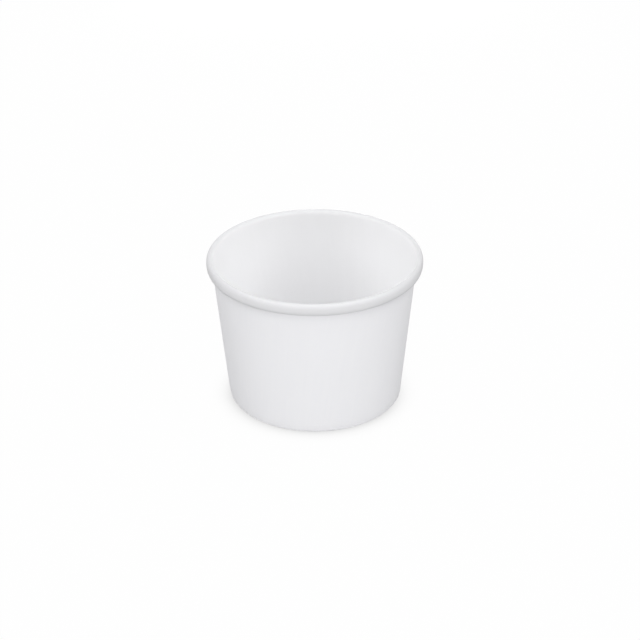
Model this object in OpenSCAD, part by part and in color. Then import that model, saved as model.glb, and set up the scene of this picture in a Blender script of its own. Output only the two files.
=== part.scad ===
// Paper bowl of two sealed pieces of board, as such bowls are made.
// The wall is a flat blank wrapped into a cone and lapped at one side seam. Its top edge
// is rolled outward into the rim, and its lower edge is folded in and up as a hem.
// The base is a disc with a turned-down skirt, and the hem clamps the skirt to the wall.
// Millimetres, +Z up, with the origin on the table at the middle of the foot.

/* [Bowl] */
// Diameter over the rolled rim
rim_d = 75; // [70:0.5:110]
// Height from the table to the top of the rim
height = 53.2; // [35:0.1:90]
// Diameter outside the wall at the table
base_d = 60.8; // [45:0.1:66]

/* [Board] */
// Thickness of the wall's board
wall_t = 0.35; // [0.2:0.01:0.5]
// Thickness of the base's board
base_t = 0.3; // [0.2:0.01:0.5]
// Gap between two sealed faces
seal_gap = 0.05; // [0.02:0.01:0.15]

/* [Rolled rim] */
// Height of the roll
rim_h = 4.2; // [3:0.1:6]
// Width of the roll, from the wall's inner face to its outer edge
rim_w = 2.5; // [2:0.1:4]
// Length of the cut edge that stands up inside the roll
rim_tuck = 1; // [0.2:0.1:1.5]

/* [Foot] */
// Height of the base's underside above the table
base_rise = 6; // [4:0.1:12]
// Radius inside the bend between the base and its skirt
bend_r = 0.5; // [0.2:0.1:1]
// Distance from the start of that bend down to the hem's cut edge
hem_drop = 0.5; // [0.2:0.1:2]
// Radius of the outer corners where the hem is pressed flat
fold_r = 0.25; // [0.1:0.05:0.4]

/* [Side seam] */
// Width of the lap, from the outer cut edge to the inner one
lap_w = 7; // [4:0.5:12]
// Width over which the outer layer settles back beside the inner cut edge
lap_run = 8; // [5:0.5:12]
// Direction of the outer cut edge, in degrees from +X
seam_angle = 180; // [0:1:359]

/* [Hidden] */
$fn = 180;
// Angle between the points of a rounded stretch
arc_step = 15;

// Oval section of the roll: half sizes and centre
oval_r = rim_w / 2;
oval_z = rim_h / 2;
roll_r = rim_d / 2 - oval_r;
roll_z = height - oval_z;

// The wall's lean, at which its inner face runs tangent into the oval
lean_run = roll_r - base_d / 2;
lean_span = norm([lean_run, roll_z]);
lean_bearing = atan2(roll_z, lean_run);
function oval_reach(a) = norm([oval_r * cos(a), oval_z * sin(a)]);
function lean_after(rounds) =
    rounds <= 0 ? 0
    : acos((oval_reach(lean_after(rounds - 1)) - wall_t) / lean_span) - lean_bearing;
lean_rounds = 5;
lean = lean_after(lean_rounds);

// Radius at height z of a line that lies `depth` inside the wall's outer face
function wall_r(z, depth) = base_d / 2 + z * tan(lean) - depth / cos(lean);

// Depths of the layers at the foot: skirt, hem and the whole fold
skirt_depth = wall_t + seal_gap;
hem_depth = skirt_depth + base_t + seal_gap;
fold_depth = hem_depth + wall_t;
hem_top = base_rise - bend_r - hem_drop;
base_top = base_rise + base_t;

// Lower inner corner of the roll, which turns up beside the wall
tuck_r = (lean_run * cos(lean) - (roll_z - oval_z) * sin(lean) - seal_gap) / (1 + sin(lean));
tuck_z = roll_z - oval_z + tuck_r;

// Angles of the lap and of the whole step, and the off-centre shift that makes the step
lap_foot = fold_r;
lap_top = height - rim_h;
lap_mid_r = wall_r((lap_foot + lap_top) / 2, 0);
lap_ply = wall_t / cos(lean);
lap_turn = lap_w / lap_mid_r * 180 / PI;
step_turn = lap_turn + lap_run / lap_mid_r * 180 / PI;
step_shift = lap_ply * (2 * lap_mid_r + lap_ply) / 2 / (lap_mid_r * (1 - cos(step_turn)) + lap_ply);
// The shapes that form the step run past its end, bite into the board and reach past its faces
step_over = 3;
step_bite = wall_t / 2;
step_reach = 2 * wall_t;

function reversed(points) = [for (i = [len(points) - 1:-1:0]) points[i]];

// Angles from one end of an arc to the other, both ends included
function arc_angles(from, to) =
    let (steps = ceil(abs(to - from) / arc_step))
    [for (i = [0:steps]) from + (to - from) * i / steps];

function arc(centre, r, from, to) =
    [for (a = arc_angles(from, to)) centre + r * [cos(a), sin(a)]];

// Point of the roll's oval at angle a, set in by `depth` along the oval's own normal
function oval_point(a, depth) =
    let (normal = [cos(a) / oval_r, sin(a) / oval_z])
    [roll_r + oval_r * cos(a), roll_z + oval_z * sin(a)] - depth * normal / norm(normal);

// One face of the roll, from the wall over the top to the tucked edge
function roll_face(depth) =
    let (
        start = 180 - atan(oval_z * tan(lean) / oval_r),
        corner = arc([roll_r, tuck_z], tuck_r - depth, -90, -180 - lean),
        along = [sin(lean), cos(lean)]
    )
    concat(
        [for (a = arc_angles(start, -90)) oval_point(a, depth)],
        [for (i = [1:len(corner) - 1]) corner[i]],
        [corner[len(corner) - 1] + rim_tuck * along]
    );

// Face of the blank that ends up outside the bowl and under the foot
function outer_face() = concat(
    [[wall_r(hem_top, fold_depth), hem_top]],
    arc([wall_r(fold_r, fold_depth - fold_r), fold_r], fold_r, 180 - lean, 270),
    arc([wall_r(fold_r, fold_r), fold_r], fold_r, -90, -lean),
    roll_face(wall_t)
);

// Face of the blank that ends up inside the bowl and against the skirt
function inner_face() = concat(
    [
        [wall_r(hem_top, hem_depth), hem_top],
        [wall_r(wall_t, hem_depth), wall_t],
        [wall_r(wall_t, wall_t), wall_t]
    ],
    roll_face(0)
);

// Upper or lower face of the base's bend
function bend_face(r) = arc(
    [wall_r(base_rise - bend_r, skirt_depth + base_t + bend_r), base_rise - bend_r], r, 90, -lean
);

// Part of a turn of board between two depths and two heights
module board_sector(from, to, depth_in, depth_out, low, high) {
    rotate_extrude(angle = to - from, start = from)
        polygon([
            [wall_r(low, depth_in), low],
            [wall_r(low, depth_out), low],
            [wall_r(high, depth_out), high],
            [wall_r(high, depth_in), high]
        ]);
}

// Off-centre cone that the step follows, `ply` outside the wall's outer face at the cut edge
module step_cone(ply, low, high) {
    translate([step_shift, 0, low])
        cylinder(
            h = high - low,
            r1 = wall_r(low, 0) + ply - step_shift,
            r2 = wall_r(high, 0) + ply - step_shift
        );
}

// Outer layer of the lap: a sharp cut edge that settles back into the wall
module lap_outside() {
    intersection() {
        board_sector(0, step_turn + step_over, step_bite, -step_reach, lap_foot, lap_top);
        step_cone(lap_ply, lap_foot, lap_top);
    }
}

// Room inside the wall beside the inner layer's cut edge
module lap_inside() {
    intersection() {
        board_sector(lap_turn, step_turn + step_over, wall_t + step_reach, 0, base_top, lap_top);
        step_cone(0, base_top, lap_top);
    }
}

module side_wall() {
    color("#ebebed")
        rotate([0, 0, seam_angle])
            difference() {
                union() {
                    rotate_extrude()
                        polygon(concat(outer_face(), reversed(inner_face())));
                    lap_outside();
                }
                lap_inside();
            }
}

module base_disc() {
    skirt_foot = wall_t + seal_gap;
    color("#e4e4e7")
        rotate_extrude()
            polygon(concat(
                [[0, base_top]],
                bend_face(bend_r + base_t),
                [
                    [wall_r(skirt_foot, skirt_depth), skirt_foot],
                    [wall_r(skirt_foot, skirt_depth + base_t), skirt_foot]
                ],
                reversed(bend_face(bend_r)),
                [[0, base_rise]]
            ));
}

side_wall();
base_disc();
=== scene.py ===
import math

import bpy
from mathutils import Matrix, Vector


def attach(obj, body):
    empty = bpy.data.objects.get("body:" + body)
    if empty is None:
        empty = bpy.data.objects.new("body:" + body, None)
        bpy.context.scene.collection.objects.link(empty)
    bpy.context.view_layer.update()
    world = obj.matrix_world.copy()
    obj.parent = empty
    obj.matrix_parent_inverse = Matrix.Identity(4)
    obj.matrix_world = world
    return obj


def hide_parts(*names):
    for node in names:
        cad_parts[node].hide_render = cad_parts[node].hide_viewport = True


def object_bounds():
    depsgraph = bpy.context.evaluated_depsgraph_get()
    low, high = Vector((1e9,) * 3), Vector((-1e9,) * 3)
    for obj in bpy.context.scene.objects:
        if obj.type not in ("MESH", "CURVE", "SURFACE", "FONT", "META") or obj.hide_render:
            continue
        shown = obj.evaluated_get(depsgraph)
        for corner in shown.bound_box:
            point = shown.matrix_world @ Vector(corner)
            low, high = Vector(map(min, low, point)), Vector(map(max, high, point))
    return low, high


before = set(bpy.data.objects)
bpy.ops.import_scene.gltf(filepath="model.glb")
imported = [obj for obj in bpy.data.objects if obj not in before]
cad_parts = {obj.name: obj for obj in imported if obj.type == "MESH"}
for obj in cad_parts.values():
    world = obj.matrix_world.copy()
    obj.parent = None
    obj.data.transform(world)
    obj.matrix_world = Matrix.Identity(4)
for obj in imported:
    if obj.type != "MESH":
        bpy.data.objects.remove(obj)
cadLow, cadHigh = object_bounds()
mm = 0.001  # the frame is in metres, the sizes below are in millimetres
rimRadius = cadHigh.x / mm
bowlHeight = cadHigh.z / mm
print("frame loaded, rim radius %.2f mm, height %.2f mm" % (rimRadius, bowlHeight))


def srgb(hexCode):  # sRGB hex to the linear colour that the shaders take
    parts = [int(hexCode[i:i + 2], 16) / 255 for i in (1, 3, 5)]
    return [c / 12.92 if c <= 0.04045 else ((c + 0.055) / 1.055) ** 2.4 for c in parts] + [1.0]


def addNode(tree, kind, inputs=None, **settings):
    # a socket among the inputs is linked, any other value is set, and the node's outputs come back
    node = tree.nodes.new(kind)
    for name, value in settings.items():
        setattr(node, name, value)
    for key, value in (inputs or {}).items():
        if isinstance(value, bpy.types.NodeSocket):
            tree.links.new(value, node.inputs[key])
        else:
            node.inputs[key].default_value = value
    return node.outputs


# board stock

board = {
    "cloud": 3.0,  # mm across, the cloudy formation of the sheet
    "fibreWidth": 0.25,  # fibres are about 0.03 mm wide, and are drawn coarser so that they show
    "fibreLength": 2.0,
    "weld": 0.001,  # mm, points closer than this are joined
    "crisp": 50.0,  # degrees, sharper edges are not shaded smooth
    "film": {
        "low": "#f0f0f1", "high": "#f2f2f3",  # the sheet's clouds run between these
        "rolled": "#d5d5d7",  # painted shade that greys the film over the roll
        "rough": (0.72, 0.8), "fibreHeight": 0.0025, "ior": 1.51,
    },
    "coat": {
        "low": "#e6e6e9", "high": "#e9e9eb",
        "rolled": "#e6e6e9",  # this side is hidden in the roll
        "rough": (0.62, 0.74), "fibreHeight": 0.005, "ior": 1.55,
    },
    "edge": {
        "low": "#e4e2dc", "high": "#eceae5",
        "rough": 0.9, "grain": 0.3, "grainHeight": 0.02, "ior": 1.5,
    },
}


def perMetre(size):  # noise scale that gives features of this size in mm, on coordinates in metres
    return 1 / (size * mm)


def newMaterial(name):
    material = bpy.data.materials.new(name)
    material.use_nodes = True
    return material, material.node_tree, material.node_tree.nodes["Principled BSDF"]


def boardMaterial(name, face):
    # bleached pulp pressed flat and coated: a soft matt white with faint clouds and fine fibres
    material, tree, shader = newMaterial(name)
    flat = addNode(tree, "ShaderNodeUVMap", uv_map="boardUv")["UV"]
    cloud = addNode(tree, "ShaderNodeTexNoise", {
        "Vector": flat, "Scale": perMetre(board["cloud"]), "Detail": 3.0,
    }, noise_dimensions="2D")["Fac"]
    grainwise = addNode(tree, "ShaderNodeMapping", {
        "Vector": flat, "Scale": (board["fibreWidth"] / board["fibreLength"], 1.0, 1.0),
    })["Vector"]
    fibre = addNode(tree, "ShaderNodeTexNoise", {
        "Vector": grainwise, "Scale": perMetre(board["fibreWidth"]), "Detail": 2.0,
    }, noise_dimensions="2D")["Fac"]
    plain = addNode(tree, "ShaderNodeMix", {
        "Factor": cloud, "A": srgb(face["low"]), "B": srgb(face["high"]),
    }, data_type="RGBA")["Result"]
    # painted shade: over the roll the film is mixed to its rolled grey
    paintedShade = addNode(tree, "ShaderNodeAttribute", attribute_name="rolled")["Fac"]
    tint = addNode(tree, "ShaderNodeMix", {
        "Factor": paintedShade, "A": plain, "B": srgb(face["rolled"]),
    }, data_type="RGBA")["Result"]
    tree.links.new(tint, shader.inputs["Base Color"])
    rough = addNode(tree, "ShaderNodeMapRange", {
        "Value": cloud, "To Min": face["rough"][0], "To Max": face["rough"][1],
    })["Result"]
    tree.links.new(rough, shader.inputs["Roughness"])
    bump = addNode(tree, "ShaderNodeBump", {"Height": fibre, "Distance": face["fibreHeight"] * mm})["Normal"]
    tree.links.new(bump, shader.inputs["Normal"])
    shader.inputs["IOR"].default_value = face["ior"]
    return material


def edgeMaterial(name, face):
    # guillotined edge of the board: bare matt fibres, a touch warmer than the coat
    material, tree, shader = newMaterial(name)
    place = addNode(tree, "ShaderNodeTexCoord")["Object"]
    grain = addNode(tree, "ShaderNodeTexNoise", {"Vector": place, "Scale": perMetre(face["grain"])})["Fac"]
    tint = addNode(tree, "ShaderNodeMix", {
        "Factor": grain, "A": srgb(face["low"]), "B": srgb(face["high"]),
    }, data_type="RGBA")["Result"]
    tree.links.new(tint, shader.inputs["Base Color"])
    bump = addNode(tree, "ShaderNodeBump", {"Height": grain, "Distance": face["grainHeight"] * mm})["Normal"]
    tree.links.new(bump, shader.inputs["Normal"])
    shader.inputs["Roughness"].default_value = face["rough"]
    shader.inputs["IOR"].default_value = face["ior"]
    return material


# film extruded on the food side, which the roll turns outward: even and soft, with painted shade greying it
# over the roll
filmSide = boardMaterial("Polyethylene film on paperboard", board["film"])
# clay scraped level on the outside: a little darker than the film, and a touch blue
clayCoat = boardMaterial("Clay coated paperboard", board["coat"])
cutEdge = edgeMaterial("Cut paperboard edge", board["edge"])
print("board materials made")


# wrapping a flat strip of board round the axis

def wrapTree():
    tree = bpy.data.node_groups.new("wrapBoard", "GeometryNodeTree")
    tree.is_modifier = True
    sockets = {
        "Profile": "NodeSocketGeometry", "Segments": "NodeSocketInt", "Material": "NodeSocketMaterial",
        "Seam Angle": "NodeSocketFloat", "Lap Angle": "NodeSocketFloat", "Settle Angle": "NodeSocketFloat",
        "Lap Step": "NodeSocketFloat", "Blank Turn": "NodeSocketFloat",
        "Flute Count": "NodeSocketFloat", "Flute Depth": "NodeSocketFloat",
        "Cockle Size": "NodeSocketFloat", "Cockle Height": "NodeSocketFloat", "Seed": "NodeSocketFloat",
    }
    for name, kind in sockets.items():
        tree.interface.new_socket(name=name, in_out="INPUT", socket_type=kind)
    tree.interface.new_socket(name="Board", in_out="OUTPUT", socket_type="NodeSocketGeometry")
    given = addNode(tree, "NodeGroupInput")
    mathKind = "ShaderNodeMath"

    # a sheet whose X runs round the axis, with a row of points along Y for each place on the way
    points = addNode(tree, "GeometryNodeAttributeDomainSize", {"Geometry": given["Profile"]})["Point Count"]
    rows = addNode(tree, mathKind, {0: given["Segments"], 1: 1.0}, operation="ADD")[0]
    sheet = addNode(tree, "GeometryNodeMeshGrid", {
        "Size X": 1.0, "Size Y": 1.0, "Vertices X": rows, "Vertices Y": points,
    })["Mesh"]
    number = addNode(tree, "GeometryNodeInputIndex")[0]
    index = addNode(tree, mathKind, {0: number, 1: points}, operation="MODULO")[0]
    here = addNode(tree, "GeometryNodeInputPosition")[0]

    # what the profile holds at this point of the row
    stored = {
        "printSide": "FLOAT_VECTOR", "lapWeight": "FLOAT", "fluteWeight": "FLOAT", "cockleWeight": "FLOAT",
        "rolled": "FLOAT", "blankRadius": "FLOAT",
    }
    fields = {"start": ("FLOAT_VECTOR", here)}
    for name, kind in stored.items():
        value = addNode(tree, "GeometryNodeInputNamedAttribute", {"Name": name}, data_type=kind)[0]
        fields[name] = (kind, value)
    held = {}
    for name, (kind, value) in fields.items():
        held[name] = addNode(tree, "GeometryNodeSampleIndex", {
            "Geometry": given["Profile"], "Value": value, "Index": index,
        }, data_type=kind, domain="POINT")[0]

    # angle of wrap, and how far the lapped end stands off the layer under it
    wholeTurn = addNode(tree, mathKind, {0: given["Lap Angle"], 1: math.tau}, operation="ADD")[0]
    turned = addNode(tree, "ShaderNodeMapRange", {
        "Value": addNode(tree, "ShaderNodeSeparateXYZ", {0: here})["X"],
        "From Min": -0.5, "From Max": 0.5, "To Min": 0.0, "To Max": wholeTurn,
    })["Result"]
    angle = addNode(tree, mathKind, {0: turned, 1: given["Seam Angle"]}, operation="ADD")[0]
    settled = addNode(tree, mathKind, {0: given["Lap Angle"], 1: given["Settle Angle"]}, operation="ADD")[0]
    lift = addNode(tree, "ShaderNodeMapRange", {
        "Value": turned, "From Min": given["Lap Angle"], "From Max": settled,
        "To Min": given["Lap Step"], "To Max": 0.0,
    }, interpolation_type="SMOOTHSTEP")["Result"]

    # pressed flutes, and the faint cockle of a wrapped sheet
    wave = addNode(tree, mathKind, {0: angle, 1: given["Flute Count"]}, operation="MULTIPLY")[0]
    crest = addNode(tree, mathKind, {0: wave}, operation="COSINE")[0]
    flute = addNode(tree, "ShaderNodeMapRange", {
        "Value": crest, "From Min": -1.0, "From Max": 1.0, "To Min": 0.0, "To Max": given["Flute Depth"],
    })["Result"]
    level = addNode(tree, "ShaderNodeVectorRotate", {
        "Vector": held["start"], "Angle": angle,
    }, rotation_type="Z_AXIS")[0]
    scale = addNode(tree, mathKind, {0: 1.0, 1: given["Cockle Size"]}, operation="DIVIDE")[0]
    noise = addNode(tree, "ShaderNodeTexNoise", {
        "Vector": level, "W": given["Seed"], "Scale": scale, "Detail": 1.0,
    }, noise_dimensions="4D")["Fac"]
    centred = addNode(tree, mathKind, {0: noise, 1: 0.5}, operation="SUBTRACT")[0]
    cockle = addNode(tree, mathKind, {0: centred, 1: given["Cockle Height"]}, operation="MULTIPLY")[0]

    push = addNode(tree, mathKind, {0: lift, 1: held["lapWeight"]}, operation="MULTIPLY")[0]
    for value, weight in ((flute, "fluteWeight"), (cockle, "cockleWeight")):
        push = addNode(tree, mathKind, {0: value, 1: held[weight], 2: push}, operation="MULTIPLY_ADD")[0]
    offset = addNode(tree, "ShaderNodeVectorMath", {
        0: held["printSide"], "Scale": push,
    }, operation="SCALE")[0]
    section = addNode(tree, "ShaderNodeVectorMath", {0: held["start"], 1: offset}, operation="ADD")[0]
    place = addNode(tree, "ShaderNodeVectorRotate", {
        "Vector": section, "Angle": angle,
    }, rotation_type="Z_AXIS")[0]

    # the flat blank's own coordinates, in metres, so that the sheet's grain runs straight on the blank
    fan = addNode(tree, mathKind, {0: turned, 1: given["Blank Turn"]}, operation="MULTIPLY")[0]
    reach = addNode(tree, "ShaderNodeCombineXYZ", {"X": held["blankRadius"]})[0]
    blank = addNode(tree, "ShaderNodeVectorRotate", {
        "Vector": reach, "Angle": fan,
    }, rotation_type="Z_AXIS")[0]
    mapped = addNode(tree, "GeometryNodeStoreNamedAttribute", {
        "Geometry": sheet, "Name": "boardUv", "Value": blank,
    }, data_type="FLOAT2", domain="CORNER")[0]
    # how much painted shade the film gets over the roll
    marked = addNode(tree, "GeometryNodeStoreNamedAttribute", {
        "Geometry": mapped, "Name": "rolled", "Value": held["rolled"],
    }, data_type="FLOAT", domain="POINT")[0]

    wrapped = addNode(tree, "GeometryNodeSetPosition", {"Geometry": marked, "Position": place})[0]
    closed = addNode(tree, "GeometryNodeMergeByDistance", {
        "Geometry": wrapped, "Distance": board["weld"] * mm,
    })[0]
    smooth = addNode(tree, "GeometryNodeSetShadeSmooth", {"Geometry": closed})[0]
    real = addNode(tree, "GeometryNodeRealizeInstances", {"Geometry": smooth})[0]
    painted = addNode(tree, "GeometryNodeSetMaterial", {"Geometry": real, "Material": given["Material"]})[0]
    addNode(tree, "NodeGroupOutput", {"Board": painted})
    return tree


wrapBoard = wrapTree()


def arcPoints(centre, radius, first, last, step):
    # points of an arc in the plane of radius and height, angles in degrees
    count = math.ceil(abs(last - first) / step)
    angles = [math.radians(first + (last - first) * i / count) for i in range(count + 1)]
    return [(centre[0] + radius * math.cos(a), centre[1] + radius * math.sin(a)) for a in angles]


def linePoints(first, last, count):  # inner points of a straight stretch, without its ends
    return [tuple(first[k] + (last[k] - first[k]) * i / count for k in (0, 1)) for i in range(1, count)]


def ease(value, low, high):  # rises smoothly from 0 at low to 1 at high
    share = min(max((value - low) / (high - low), 0), 1)
    return share * share * (3 - 2 * share)


def profileObject(name, points, weights, blankStart):
    # the profile as a row of points, with what the wrapping tree needs at each of them
    mesh = bpy.data.meshes.new(name)
    mesh.from_pydata([(r * mm, 0, z * mm) for r, z in points], [], [])
    sides = []
    reach = [blankStart * mm]
    for i, point in enumerate(points):
        before = points[max(i - 1, 0)]
        after = points[min(i + 1, len(points) - 1)]
        along = Vector((after[0] - before[0], after[1] - before[1])).normalized()
        sides += [along.y, 0, -along.x]
        if i:
            reach.append(reach[-1] + math.dist(points[i - 1], point) * mm)
    mesh.attributes.new("printSide", "FLOAT_VECTOR", "POINT").data.foreach_set("vector", sides)
    for key, values in {"blankRadius": reach, **weights}.items():
        mesh.attributes.new(key, "FLOAT", "POINT").data.foreach_set("value", values)
    piece = bpy.data.objects.new(name, mesh)
    bpy.context.scene.collection.objects.link(piece)
    return piece


def wrapPiece(piece, settings, thickness, towards, backFace):
    # wraps the profile, gives the sheet its thickness and keeps the result as a plain mesh
    modifier = piece.modifiers.new("wrap", "NODES")
    modifier.node_group = wrapBoard
    for socket in wrapBoard.interface.items_tree:
        if socket.in_out == "INPUT" and socket.name in settings:
            modifier[socket.identifier] = settings[socket.name]
    shell = piece.modifiers.new("board", "SOLIDIFY")
    shell.thickness = thickness * mm
    shell.offset = towards  # 1 adds the thickness on the print side of the profile, -1 on the other
    shell.use_even_offset = True
    shell.material_offset = -1  # the tree leaves slot 0 empty and puts the sheet in slot 1
    shell.material_offset_rim = 1
    slots = (backFace, settings["Material"], cutEdge)
    for material in slots:
        piece.data.materials.append(material)
    depsgraph = bpy.context.evaluated_depsgraph_get()
    mesh = bpy.data.meshes.new_from_object(piece.evaluated_get(depsgraph), depsgraph=depsgraph)
    chosen = [face.material_index for face in mesh.polygons]
    mesh.materials.clear()
    for material in slots:
        mesh.materials.append(material)
    mesh.polygons.foreach_set("material_index", chosen)
    mesh.set_sharp_from_angle(angle=math.radians(board["crisp"]))
    piece.modifiers.clear()
    piece.data = mesh
    print("%s: %d faces" % (piece.name, len(mesh.polygons)))
    return piece


# side wall and base disc

sideWall = {
    "thickness": 0.35,
    "footWidth": 60.8,  # across the outside at the table
    "rollHeight": 4.2,
    "rollWidth": 2.5,
    "rollFlat": 0.8,  # 1 leaves the oval as it is, less squares its outer side
    "rollStep": 8.0,  # degrees between points of the oval
    "paintedShadeSpan": (0.06, 0.32),  # shares of the way over the roll between which the painted shade on the film comes in
    "tuck": 1.0,  # cut edge standing up inside the roll
    "tuckStep": 12.0,
    "sealGap": 0.05,
    "foldRadius": 0.08,  # inside the pressed fold at the foot
    "foldStep": 22.5,
    "lap": 7.0,
    "settle": 8.0,  # where the lapped end comes back down beside the inner cut edge
    "seamAngle": 180.0,
    "rollLap": 0.1,  # share of the lap's step that is left where the rolling die pressed it
    "pressedBelow": 6.0,  # height under the roll over which that starts
    "hemLap": 0.6,  # share left in the pressed hem
    "foldLap": 0.14,  # and in the fold that it stands on
    "foldClimb": 1.5,  # height over which the step grows again
    "flutePitch": 2.0,  # crimp pressed into the hem, drawn a little coarse so that it shows
    "fluteDepth": 0.14,
    "cockleSize": 18.0,
    "cockleHeight": 0.06,
    "cockleBand": (1 / 3, 2 / 3),  # shares of the height between which the cockle is full
    "seed": 3.0,
    "hemRows": 10,
    "wallRows": 18,
    "segments": 560,
}
baseDisc = {
    "thickness": 0.3,
    "rise": 6.0,  # table to the underside
    "bend": 0.5,
    "bendStep": 9.0,  # degrees between points of the bend
    "hemDrop": 0.5,  # start of the bend down to the hem's cut edge
    "puckerSize": 2.2,
    "puckerHeight": 0.12,
    "puckerBand": (5.0, 1.0),  # puckers fade in between these distances from the bend
    "seed": 8.0,
    "skirtRows": 6,
    "discRings": 40,
    "segments": 240,
}


def wallLean():  # lean at which the wall's inner face runs tangent into the oval roll
    halfWidth = sideWall["rollWidth"] / 2
    halfHeight = sideWall["rollHeight"] / 2
    run = rimRadius - halfWidth - sideWall["footWidth"] / 2
    rise = bowlHeight - halfHeight
    rounds = 5  # the lean no longer changes after these
    found = 0.0
    for _ in range(rounds):
        touch = math.hypot(halfWidth * math.cos(found), halfHeight * math.sin(found))
        found = math.acos((touch - sideWall["thickness"]) / math.hypot(run, rise)) - math.atan2(rise, run)
    return found


lean = wallLean()
leanDegrees = math.degrees(lean)


def wallRadius(z, depth):  # radius at height z of a line that lies this deep inside the wall's outer face
    return sideWall["footWidth"] / 2 + z * math.tan(lean) - depth / math.cos(lean)


def rollPoints():  # inner face of the board, over the roll and down to the tucked edge
    halfWidth = sideWall["rollWidth"] / 2
    halfHeight = sideWall["rollHeight"] / 2
    centre = (rimRadius - halfWidth, bowlHeight - halfHeight)
    start = 180 - math.degrees(math.atan(halfHeight * math.tan(lean) / halfWidth))
    oval = []
    for x, z in arcPoints((0, 0), 1, start, -90, sideWall["rollStep"]):
        if x > 0:  # the die flattens the outer side
            x = x ** sideWall["rollFlat"]
            z = math.copysign(abs(z) ** sideWall["rollFlat"], z)
        oval.append((centre[0] + halfWidth * x, centre[1] + halfHeight * z))
    run = centre[0] - sideWall["footWidth"] / 2
    low = centre[1] - halfHeight
    corner = (run * math.cos(lean) - low * math.sin(lean) - sideWall["sealGap"]) / (1 + math.sin(lean))
    turn = arcPoints((centre[0], low + corner), corner, -90, -180 - leanDegrees, sideWall["tuckStep"])
    end = (turn[-1][0] + sideWall["tuck"] * math.sin(lean), turn[-1][1] + sideWall["tuck"] * math.cos(lean))
    return oval, turn[1:] + [end]


def makeSideWall():
    thick = sideWall["thickness"]
    hemDepth = thick + baseDisc["thickness"] + 2 * sideWall["sealGap"]
    hemTop = baseDisc["rise"] - baseDisc["bend"] - baseDisc["hemDrop"]
    hemEnd = (wallRadius(hemTop, hemDepth), hemTop)
    foot = thick * (1 + sideWall["foldLap"])  # inside of the fold, which stands on its lapped end
    fold = sideWall["foldRadius"]
    hemCentre = (wallRadius(foot + fold, hemDepth - fold), foot + fold)
    wallCentre = (wallRadius(foot + fold, thick + fold), foot + fold)
    turnIn = arcPoints(hemCentre, fold, 180 - leanDegrees, 270, sideWall["foldStep"])
    turnUp = arcPoints(wallCentre, fold, 270, 360 - leanDegrees, sideWall["foldStep"])
    oval, tucked = rollPoints()
    rollStart = oval[0][1]
    stretches = {
        "hem": [hemEnd] + linePoints(hemEnd, turnIn[0], sideWall["hemRows"]),
        "fold": turnIn + turnUp,
        "wall": linePoints(turnUp[-1], oval[0], sideWall["wallRows"]),
        "roll": oval + tucked,
    }
    cockleLow, cockleHigh = [share * bowlHeight for share in sideWall["cockleBand"]]
    points = []
    weights = {"lapWeight": [], "fluteWeight": [], "cockleWeight": [], "rolled": []}
    for name, stretch in stretches.items():
        for i, (r, z) in enumerate(stretch):
            climb = ease(z, foot, sideWall["foldClimb"])
            lap = sideWall["foldLap"]
            flute = 0.0
            cockle = 0.0
            rolled = 0.0
            if name == "hem":
                lap += (sideWall["hemLap"] - lap) * climb
                flute = climb * (1 - ease(z, hemTop - sideWall["foldClimb"], hemTop))
            if name == "wall":
                lap += (1 - lap) * climb
                lap += (sideWall["rollLap"] - lap) * ease(z, rollStart - sideWall["pressedBelow"], rollStart)
                cockle = ease(z, 0, cockleLow) * (1 - ease(z, cockleHigh, rollStart))
            if name == "roll":
                lap = sideWall["rollLap"]
                # painted shade, greying the film from the roll's inner side up to its crown and fully over
                # its outer side
                rolled = ease(i / len(oval), *sideWall["paintedShadeSpan"])
            points.append((r, z))
            for key, value in zip(weights, (lap, flute, cockle, rolled)):
                weights[key].append(value)
    middle = wallRadius(bowlHeight / 2, 0)
    hemLength = hemTop + hemDepth - thick
    blankStart = wallRadius(0, thick) / math.sin(lean) - hemLength
    piece = profileObject("side_wall_board", points, weights, blankStart)
    return wrapPiece(piece, {
        "Segments": sideWall["segments"],
        "Seam Angle": math.radians(sideWall["seamAngle"]),
        "Lap Angle": sideWall["lap"] / middle,
        "Settle Angle": sideWall["settle"] / middle,
        "Lap Step": thick * mm,
        "Blank Turn": math.sin(lean),
        "Flute Count": float(round(math.tau * wallRadius(0, hemDepth) / sideWall["flutePitch"])),
        "Flute Depth": sideWall["fluteDepth"] * mm,
        "Cockle Size": sideWall["cockleSize"] * mm,
        "Cockle Height": sideWall["cockleHeight"] * mm,
        "Seed": sideWall["seed"],
        "Material": clayCoat,
    }, thick, 1, filmSide)


def makeBaseDisc():
    thick = baseDisc["thickness"]
    skirtDepth = sideWall["thickness"] + sideWall["sealGap"]
    foot = sideWall["thickness"] * (1 + sideWall["foldLap"]) + sideWall["sealGap"]
    radius = baseDisc["bend"] + thick
    low = baseDisc["rise"] - baseDisc["bend"]
    centre = (wallRadius(low, skirtDepth + radius), low)
    bend = arcPoints(centre, radius, -leanDegrees, 90, baseDisc["bendStep"])
    skirtEnd = (wallRadius(foot, skirtDepth), foot)
    edge, top = bend[-1]
    skirt = [skirtEnd] + linePoints(skirtEnd, bend[0], baseDisc["skirtRows"])
    disc = linePoints((edge, top), (0, top), baseDisc["discRings"]) + [(0, top)]
    points = skirt + bend + disc
    fadeIn, full = baseDisc["puckerBand"]
    pucker = [ease(z, low, top) * ease(r, edge - fadeIn, edge - full) for r, z in points]
    still = [0.0] * len(points)
    piece = profileObject("base_disc_board", points, {
        "lapWeight": still, "fluteWeight": still, "cockleWeight": pucker, "rolled": still,
    }, 0.0)
    return wrapPiece(piece, {
        "Segments": baseDisc["segments"],
        "Blank Turn": 1.0,
        "Cockle Size": baseDisc["puckerSize"] * mm,
        "Cockle Height": baseDisc["puckerHeight"] * mm,
        "Seed": baseDisc["seed"],
        "Material": filmSide,
    }, thick, -1, clayCoat)


wallPiece = makeSideWall()
basePiece = makeBaseDisc()
for piece, node, slotName in (
    (wallPiece, "side_wall", "wall_board"),
    (basePiece, "base_disc", "base_board"),
):
    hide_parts(node)
    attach(piece, "root")
print("board pieces in place")


# camera

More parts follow.
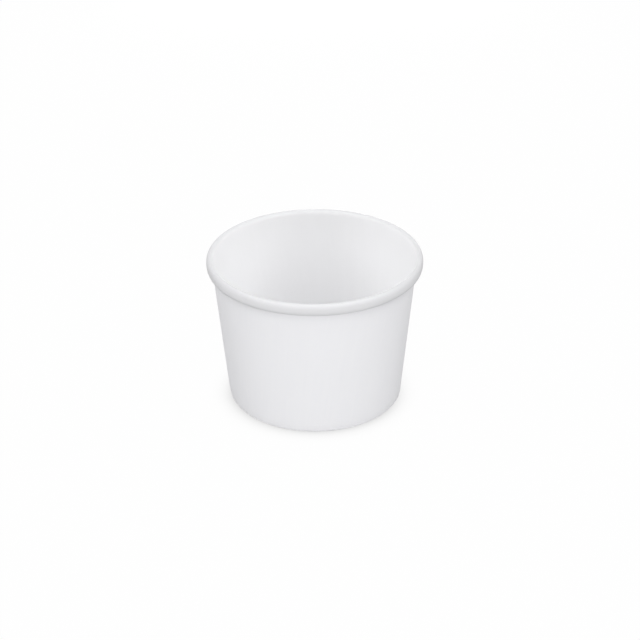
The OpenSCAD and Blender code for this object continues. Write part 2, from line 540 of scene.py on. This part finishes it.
shot = {
    "elevation": 29.02,  # degrees above the table
    "distance": 600.0,
    "lens": 95.6,
    "sensor": 36.0,
    "roll": -0.37,
    "aimRight": 1.68,  # mm from the middle of the bowl
    "aimUp": 0.55,
}


def makeCamera():
    data = bpy.data.cameras.new("camera")
    data.lens = shot["lens"]
    data.sensor_width = shot["sensor"]
    camera = bpy.data.objects.new("camera", data)
    bpy.context.scene.collection.objects.link(camera)
    tilt = math.radians(shot["elevation"])
    back = Vector((0, -math.cos(tilt), math.sin(tilt)))
    turn = (-back).to_track_quat("-Z", "Y").to_matrix()
    middle = Vector((0, 0, bowlHeight / 2))
    aim = middle + turn @ Vector((shot["aimRight"], shot["aimUp"], 0))
    rolled = turn @ Matrix.Rotation(math.radians(shot["roll"]), 3, "Z")
    camera.matrix_world = Matrix.Translation((aim + back * shot["distance"]) * mm) @ rolled.to_4x4()
    bpy.context.scene.camera = camera


makeCamera()
print("camera set")


# floor and light

studio = {
    "floor": "#959595",
    "floorSize": 6000.0,
    "glowAtFoot": 0.66,  # how far the sweep is burnt out to white beside the foot
    "glowAway": 0.99,  # and away from it
    "shadowReach": 12.0,  # mm from the foot
    "shadowFall": 5.0,  # how fast it fades over that reach
    "shadowSide": 260.0,  # degrees from +X, the side of the foot where it is deepest
    "shadowTurn": (-6.0, 14.0),  # mm from the axis towards that side, over which it deepens
    "shadowLeast": 0.35,  # what there is of it on the far side
    "backdrop": "#ffffff",
    "ambient": 0.48,
    "card": {"distance": 450, "width": 200, "height": 50},  # mm
    "softbox": {"distance": 1200, "width": 900, "height": 900},
    "lamps": {  # azimuth from +X and elevation in degrees, power in watts
        "front card": {"kind": "card", "azimuth": 270, "elevation": 0, "power": 0.74},
        "back card": {"kind": "card", "azimuth": 90, "elevation": 0, "power": 1.0},
        "front box": {"kind": "softbox", "azimuth": 270, "elevation": 35, "power": 3.2},
        "left box": {"kind": "softbox", "azimuth": 180, "elevation": 45, "power": 6.6},
        "right box": {"kind": "softbox", "azimuth": 0, "elevation": 45, "power": 6.8},
    },
}


def seenRays(tree):  # 1 for the rays that show the surroundings themselves, 0 for the light that they give
    rays = addNode(tree, "ShaderNodeLightPath")
    seen = rays["Is Camera Ray"]
    for name in ("Is Glossy Ray", "Is Transmission Ray"):
        seen = addNode(tree, "ShaderNodeMath", {0: seen, 1: rays[name]}, operation="MAXIMUM")[0]
    return seen


def makeFloor():
    half = studio["floorSize"] * mm / 2
    mesh = bpy.data.meshes.new("floor")
    corners = [(-half, -half, 0), (half, -half, 0), (half, half, 0), (-half, half, 0)]
    mesh.from_pydata(corners, [], [(0, 1, 2, 3)])
    floor = bpy.data.objects.new("floor", mesh)
    bpy.context.scene.collection.objects.link(floor)

    # uncoated paper, dead matt: burnt out to white by the studio, with a soft shadow left round the foot
    material, tree, shader = newMaterial("Matt paper sweep")
    seen = seenRays(tree)
    shader.inputs["Base Color"].default_value = srgb(studio["floor"])
    shader.inputs["Roughness"].default_value = 1.0
    shader.inputs["Specular IOR Level"].default_value = 0.0
    glow = addNode(tree, "ShaderNodeEmission", {"Color": srgb(studio["backdrop"]), "Strength": 1.0})[0]
    place = addNode(tree, "ShaderNodeTexCoord")["Object"]
    away = addNode(tree, "ShaderNodeVectorMath", {0: place}, operation="LENGTH")["Value"]
    foot = sideWall["footWidth"] / 2
    near = addNode(tree, "ShaderNodeMapRange", {
        "Value": away, "From Min": foot * mm, "From Max": (foot + studio["shadowReach"]) * mm,
        "To Min": 1.0, "To Max": 0.0,
    })["Result"]
    fallen = addNode(tree, "ShaderNodeMath", {0: near, 1: studio["shadowFall"]}, operation="POWER")[0]
    turn = math.radians(studio["shadowSide"])
    towards = addNode(tree, "ShaderNodeVectorMath", {
        0: place, 1: (math.cos(turn), math.sin(turn), 0),
    }, operation="DOT_PRODUCT")["Value"]
    far, full = studio["shadowTurn"]
    deep = addNode(tree, "ShaderNodeMapRange", {
        "Value": towards, "From Min": far * mm, "From Max": full * mm,
        "To Min": studio["shadowLeast"], "To Max": 1.0,
    })["Result"]
    shaded = addNode(tree, "ShaderNodeMath", {0: fallen, 1: deep}, operation="MULTIPLY")[0]
    burnt = addNode(tree, "ShaderNodeMapRange", {
        "Value": shaded, "To Min": studio["glowAway"], "To Max": studio["glowAtFoot"],
    })["Result"]
    share = addNode(tree, "ShaderNodeMath", {0: seen, 1: burnt}, operation="MULTIPLY")[0]
    mixed = addNode(tree, "ShaderNodeMixShader", {0: share, 1: shader.outputs[0], 2: glow})[0]
    tree.links.new(mixed, tree.nodes["Material Output"].inputs["Surface"])
    mesh.materials.append(material)


def makeWorld():
    world = bpy.data.worlds.new("studio")
    bpy.context.scene.world = world
    world.use_nodes = True
    tree = world.node_tree
    shade = tree.nodes["Background"]
    shade.inputs["Color"].default_value = srgb(studio["backdrop"])
    level = addNode(tree, "ShaderNodeMapRange", {
        "Value": seenRays(tree), "To Min": studio["ambient"], "To Max": 1.0,
    })["Result"]
    tree.links.new(level, shade.inputs["Strength"])


def makeLamp(name, spot):
    kind = studio[spot["kind"]]
    data = bpy.data.lights.new(name, "AREA")
    data.shape = "RECTANGLE"
    data.size = kind["width"] * mm
    data.size_y = kind["height"] * mm
    data.energy = spot["power"]
    lamp = bpy.data.objects.new(name, data)
    bpy.context.scene.collection.objects.link(lamp)
    lamp.visible_camera = False
    turn = math.radians(spot["azimuth"])
    climb = math.radians(spot["elevation"])
    out = Vector((math.cos(turn) * math.cos(climb), math.sin(turn) * math.cos(climb), math.sin(climb)))
    middle = Vector((0, 0, bowlHeight / 2))
    lamp.location = (middle + out * kind["distance"]) * mm
    lamp.rotation_euler = (-out).to_track_quat("-Z", "Y").to_euler()


makeFloor()
makeWorld()
for name, spot in studio["lamps"].items():
    makeLamp(name, spot)
bpy.context.scene.view_settings.view_transform = "Standard"
print("studio set")
